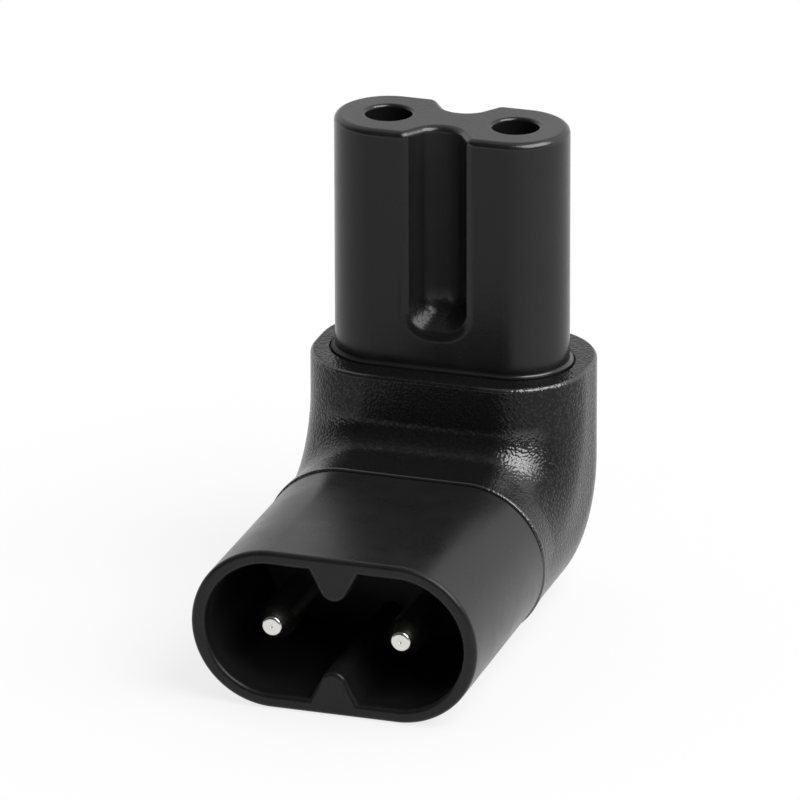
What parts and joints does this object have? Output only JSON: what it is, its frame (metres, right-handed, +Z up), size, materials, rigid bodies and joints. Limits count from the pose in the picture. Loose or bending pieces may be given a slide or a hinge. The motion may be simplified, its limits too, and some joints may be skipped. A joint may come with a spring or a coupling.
{
  "type": "figure eight power connector",
  "caption": "Right-angle mains adapter: a keyed figure eight socket nose stands up from a grained moulded elbow whose shrouded pin inlet faces forward.",
  "frame": {"origin": "under the middle of the whole part, on the surface that it stands on", "axes": "+Z up along the socket nose, +X across the poles, the inlet faces -Y"},
  "size_m": [0.019, 0.0314, 0.0317],
  "materials": {
    "elbow_vinyl": "fine pebbled grain, soft vinyl",
    "insert_plastic": "smooth satin moulding",
    "pin_plating": "bright nickel plating over turned brass",
    "contact_brass": "plain turned brass",
    "link_copper": "bare drawn copper"
  },
  "bodies": {
    "root": {"elbow_overmould": "elbow_vinyl", "socket_nose": "insert_plastic", "inlet_shroud": "insert_plastic", "inlet_pin_left": "pin_plating", "inlet_pin_right": "pin_plating", "socket_contact_left": "contact_brass", "socket_contact_right": "contact_brass", "link_wire_left": "link_copper", "link_wire_right": "link_copper"}
  },
  "joints": []
}
